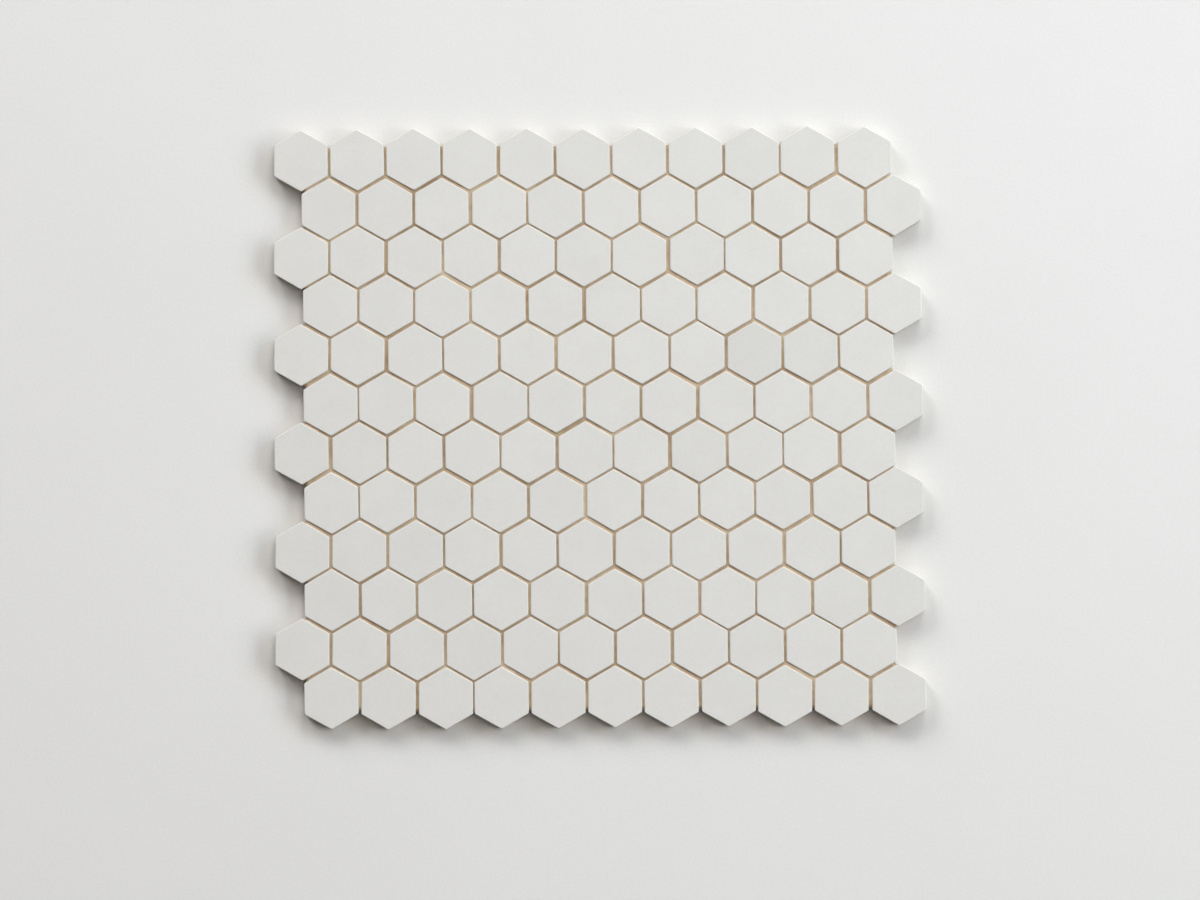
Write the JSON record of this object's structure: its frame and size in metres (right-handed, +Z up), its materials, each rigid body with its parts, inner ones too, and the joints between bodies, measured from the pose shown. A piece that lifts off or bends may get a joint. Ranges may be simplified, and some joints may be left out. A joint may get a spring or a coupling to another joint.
{
  "type": "hexagon mosaic floor tile sheet",
  "caption": "Flat sheet of small matt white hexagon floor tiles in nested rows, with tan glue standing high in the narrow joints and a net behind.",
  "frame": {"origin": "under the middle of the sheet, on the plane that the backing net lies on", "axes": "+X along the rows of tiles, +Y across the rows towards row 1, +Z up through the tiles' faces"},
  "size_m": [0.3053, 0.2834, 0.0067],
  "materials": {
    "tile": "matt warm white face on a tan porcelain body",
    "glue": "matt tan glue",
    "net": "pale glass fibre net"
  },
  "bodies": {
    "root": {"backing_net": "net", "glue_bed": "glue", "tile_row_01": "tile", "tile_row_02": "tile", "tile_row_03": "tile", "tile_row_04": "tile", "tile_row_05": "tile", "tile_row_06": "tile", "tile_row_07": "tile", "tile_row_08": "tile", "tile_row_09": "tile", "tile_row_10": "tile", "tile_row_11": "tile", "tile_row_12": "tile"}
  },
  "joints": []
}
